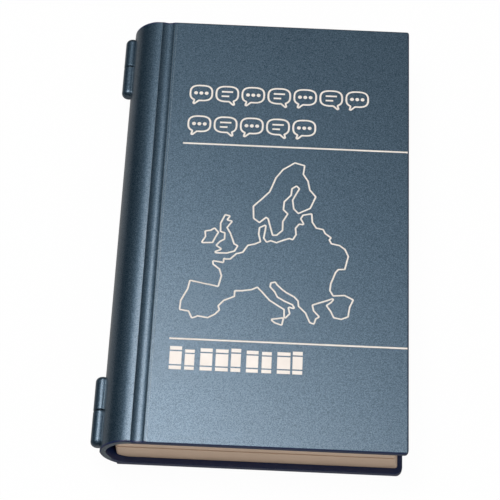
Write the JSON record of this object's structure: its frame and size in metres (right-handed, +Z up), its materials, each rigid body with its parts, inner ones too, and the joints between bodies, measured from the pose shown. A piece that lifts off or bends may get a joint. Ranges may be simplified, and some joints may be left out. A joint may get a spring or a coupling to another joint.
{
  "type": "handheld translator",
  "caption": "Book-shaped pocket translator: hinged front cover with a display, key well in the base, rounded spine with barrel hinges.",
  "frame": {"origin": "middle of the closed book's footprint, on the back cover's outer face", "axes": "+Z up through the closed book, +Y along the spine towards the head, +X towards the fore-edge"},
  "size_m": [0.0876, 0.14, 0.018],
  "materials": {
    "front_paint": "metallic blue paint with a fine grain",
    "back_paint": "dark blue paint, satin",
    "case_plastic": "cream moulded plastic",
    "panel_film": "printed film",
    "mat_rubber": "moulded silicone",
    "board": "solder mask",
    "chip_resin": "moulded resin",
    "cell_steel": "nickel plated",
    "contact_brass": "sprung brass",
    "screw_steel": "plated steel",
    "pin_steel": "rolled steel",
    "wire_jacket": "jacketed lead",
    "window_plastic": "clear acrylic",
    "display_glass": "display glass, grey green",
    "frame_plastic": "moulded plastic",
    "strip_rubber": "layered rubber",
    "bumper_rubber": "soft rubber",
    "key_plastic": "cream moulded plastic with printed signs",
    "key_blue": "blue grey moulded plastic with printed signs"
  },
  "bodies": {
    "base": {"back_cover": "back_paint", "keyboard_case": "case_plastic", "key_panel": "panel_film", "keypad_mat": "mat_rubber", "main_board": "board", "logic_chips": "chip_resin", "coin_cells": "cell_steel", "cell_contacts": "contact_brass", "case_screws": "screw_steel", "board_screws": "screw_steel", "hinge_wires": "wire_jacket"},
    "lid": {"front_cover": "front_paint", "display_case": "case_plastic", "display_window": "window_plastic", "lcd_panel": "display_glass", "lcd_frame": "frame_plastic", "contact_strip": "strip_rubber", "lcd_board": "board", "lcd_screws": "screw_steel", "lid_screws": "screw_steel", "lid_bumpers": "bumper_rubber", "hinge_pins": "pin_steel"},
    "battery_door": {"battery_door": "back_paint"},
    "key_menu": {"key_menu": "key_blue"},
    "key_back": {"key_back": "key_blue"},
    "key_language": {"key_language": "key_blue"},
    "key_clear": {"key_clear": "key_blue"},
    "key_enter": {"key_enter": "key_blue"},
    "key_q": {"key_q": "key_plastic"},
    "key_w": {"key_w": "key_plastic"},
    "key_e": {"key_e": "key_plastic"},
    "key_r": {"key_r": "key_plastic"},
    "key_t": {"key_t": "key_plastic"},
    "key_y": {"key_y": "key_plastic"},
    "key_u": {"key_u": "key_plastic"},
    "key_i": {"key_i": "key_plastic"},
    "key_o": {"key_o": "key_plastic"},
    "key_p": {"key_p": "key_plastic"},
    "key_a": {"key_a": "key_plastic"},
    "key_s": {"key_s": "key_plastic"},
    "key_d": {"key_d": "key_plastic"},
    "key_f": {"key_f": "key_plastic"},
    "key_g": {"key_g": "key_plastic"},
    "key_h": {"key_h": "key_plastic"},
    "key_j": {"key_j": "key_plastic"},
    "key_k": {"key_k": "key_plastic"},
    "key_l": {"key_l": "key_plastic"},
    "key_z": {"key_z": "key_plastic"},
    "key_x": {"key_x": "key_plastic"},
    "key_c": {"key_c": "key_plastic"},
    "key_v": {"key_v": "key_plastic"},
    "key_b": {"key_b": "key_plastic"},
    "key_n": {"key_n": "key_plastic"},
    "key_m": {"key_m": "key_plastic"},
    "key_up": {"key_up": "key_plastic"},
    "key_space": {"key_space": "key_plastic"},
    "key_left": {"key_left": "key_plastic"},
    "key_down": {"key_down": "key_plastic"},
    "key_right": {"key_right": "key_plastic"}
  },
  "joints": [
    {"name": "lid_hinge", "type": "hinge", "parent": "base", "child": "lid", "pos_m": [-0.04167, 0, 0.009], "axis": [0, -1, 0], "range_deg": [0, 180], "deforming": ["hinge_wires"]},
    {"name": "battery_door_slide", "type": "slide", "parent": "base", "child": "battery_door", "axis": [0, 1, 0], "range_m": [0, 0.028]},
    {"name": "key_menu_press", "type": "slide", "parent": "base", "child": "key_menu", "axis": [0, 0, 1], "range_m": [-0.0006, 0], "stiffness_N_per_m": 600, "springref_m": 0.0004, "deforming": ["keypad_mat"]},
    {"name": "key_back_press", "type": "slide", "parent": "base", "child": "key_back", "axis": [0, 0, 1], "range_m": [-0.0006, 0], "stiffness_N_per_m": 600, "springref_m": 0.0004},
    {"name": "key_language_press", "type": "slide", "parent": "base", "child": "key_language", "axis": [0, 0, 1], "range_m": [-0.0006, 0], "stiffness_N_per_m": 600, "springref_m": 0.0004},
    {"name": "key_clear_press", "type": "slide", "parent": "base", "child": "key_clear", "axis": [0, 0, 1], "range_m": [-0.0006, 0], "stiffness_N_per_m": 600, "springref_m": 0.0004},
    {"name": "key_enter_press", "type": "slide", "parent": "base", "child": "key_enter", "axis": [0, 0, 1], "range_m": [-0.0006, 0], "stiffness_N_per_m": 600, "springref_m": 0.0004},
    {"name": "key_q_press", "type": "slide", "parent": "base", "child": "key_q", "axis": [0, 0, 1], "range_m": [-0.0006, 0], "stiffness_N_per_m": 600, "springref_m": 0.0004},
    {"name": "key_w_press", "type": "slide", "parent": "base", "child": "key_w", "axis": [0, 0, 1], "range_m": [-0.0006, 0], "stiffness_N_per_m": 600, "springref_m": 0.0004},
    {"name": "key_e_press", "type": "slide", "parent": "base", "child": "key_e", "axis": [0, 0, 1], "range_m": [-0.0006, 0], "stiffness_N_per_m": 600, "springref_m": 0.0004},
    {"name": "key_r_press", "type": "slide", "parent": "base", "child": "key_r", "axis": [0, 0, 1], "range_m": [-0.0006, 0], "stiffness_N_per_m": 600, "springref_m": 0.0004},
    {"name": "key_t_press", "type": "slide", "parent": "base", "child": "key_t", "axis": [0, 0, 1], "range_m": [-0.0006, 0], "stiffness_N_per_m": 600, "springref_m": 0.0004},
    {"name": "key_y_press", "type": "slide", "parent": "base", "child": "key_y", "axis": [0, 0, 1], "range_m": [-0.0006, 0], "stiffness_N_per_m": 600, "springref_m": 0.0004},
    {"name": "key_u_press", "type": "slide", "parent": "base", "child": "key_u", "axis": [0, 0, 1], "range_m": [-0.0006, 0], "stiffness_N_per_m": 600, "springref_m": 0.0004},
    {"name": "key_i_press", "type": "slide", "parent": "base", "child": "key_i", "axis": [0, 0, 1], "range_m": [-0.0006, 0], "stiffness_N_per_m": 600, "springref_m": 0.0004},
    {"name": "key_o_press", "type": "slide", "parent": "base", "child": "key_o", "axis": [0, 0, 1], "range_m": [-0.0006, 0], "stiffness_N_per_m": 600, "springref_m": 0.0004},
    {"name": "key_p_press", "type": "slide", "parent": "base", "child": "key_p", "axis": [0, 0, 1], "range_m": [-0.0006, 0], "stiffness_N_per_m": 600, "springref_m": 0.0004},
    {"name": "key_a_press", "type": "slide", "parent": "base", "child": "key_a", "axis": [0, 0, 1], "range_m": [-0.0006, 0], "stiffness_N_per_m": 600, "springref_m": 0.0004},
    {"name": "key_s_press", "type": "slide", "parent": "base", "child": "key_s", "axis": [0, 0, 1], "range_m": [-0.0006, 0], "stiffness_N_per_m": 600, "springref_m": 0.0004},
    {"name": "key_d_press", "type": "slide", "parent": "base", "child": "key_d", "axis": [0, 0, 1], "range_m": [-0.0006, 0], "stiffness_N_per_m": 600, "springref_m": 0.0004},
    {"name": "key_f_press", "type": "slide", "parent": "base", "child": "key_f", "axis": [0, 0, 1], "range_m": [-0.0006, 0], "stiffness_N_per_m": 600, "springref_m": 0.0004},
    {"name": "key_g_press", "type": "slide", "parent": "base", "child": "key_g", "axis": [0, 0, 1], "range_m": [-0.0006, 0], "stiffness_N_per_m": 600, "springref_m": 0.0004},
    {"name": "key_h_press", "type": "slide", "parent": "base", "child": "key_h", "axis": [0, 0, 1], "range_m": [-0.0006, 0], "stiffness_N_per_m": 600, "springref_m": 0.0004},
    {"name": "key_j_press", "type": "slide", "parent": "base", "child": "key_j", "axis": [0, 0, 1], "range_m": [-0.0006, 0], "stiffness_N_per_m": 600, "springref_m": 0.0004},
    {"name": "key_k_press", "type": "slide", "parent": "base", "child": "key_k", "axis": [0, 0, 1], "range_m": [-0.0006, 0], "stiffness_N_per_m": 600, "springref_m": 0.0004},
    {"name": "key_l_press", "type": "slide", "parent": "base", "child": "key_l", "axis": [0, 0, 1], "range_m": [-0.0006, 0], "stiffness_N_per_m": 600, "springref_m": 0.0004},
    {"name": "key_z_press", "type": "slide", "parent": "base", "child": "key_z", "axis": [0, 0, 1], "range_m": [-0.0006, 0], "stiffness_N_per_m": 600, "springref_m": 0.0004},
    {"name": "key_x_press", "type": "slide", "parent": "base", "child": "key_x", "axis": [0, 0, 1], "range_m": [-0.0006, 0], "stiffness_N_per_m": 600, "springref_m": 0.0004},
    {"name": "key_c_press", "type": "slide", "parent": "base", "child": "key_c", "axis": [0, 0, 1], "range_m": [-0.0006, 0], "stiffness_N_per_m": 600, "springref_m": 0.0004},
    {"name": "key_v_press", "type": "slide", "parent": "base", "child": "key_v", "axis": [0, 0, 1], "range_m": [-0.0006, 0], "stiffness_N_per_m": 600, "springref_m": 0.0004},
    {"name": "key_b_press", "type": "slide", "parent": "base", "child": "key_b", "axis": [0, 0, 1], "range_m": [-0.0006, 0], "stiffness_N_per_m": 600, "springref_m": 0.0004},
    {"name": "key_n_press", "type": "slide", "parent": "base", "child": "key_n", "axis": [0, 0, 1], "range_m": [-0.0006, 0], "stiffness_N_per_m": 600, "springref_m": 0.0004},
    {"name": "key_m_press", "type": "slide", "parent": "base", "child": "key_m", "axis": [0, 0, 1], "range_m": [-0.0006, 0], "stiffness_N_per_m": 600, "springref_m": 0.0004},
    {"name": "key_up_press", "type": "slide", "parent": "base", "child": "key_up", "axis": [0, 0, 1], "range_m": [-0.0006, 0], "stiffness_N_per_m": 600, "springref_m": 0.0004},
    {"name": "key_space_press", "type": "slide", "parent": "base", "child": "key_space", "axis": [0, 0, 1], "range_m": [-0.0006, 0], "stiffness_N_per_m": 600, "springref_m": 0.0004},
    {"name": "key_left_press", "type": "slide", "parent": "base", "child": "key_left", "axis": [0, 0, 1], "range_m": [-0.0006, 0], "stiffness_N_per_m": 600, "springref_m": 0.0004},
    {"name": "key_down_press", "type": "slide", "parent": "base", "child": "key_down", "axis": [0, 0, 1], "range_m": [-0.0006, 0], "stiffness_N_per_m": 600, "springref_m": 0.0004},
    {"name": "key_right_press", "type": "slide", "parent": "base", "child": "key_right", "axis": [0, 0, 1], "range_m": [-0.0006, 0], "stiffness_N_per_m": 600, "springref_m": 0.0004}
  ]
}
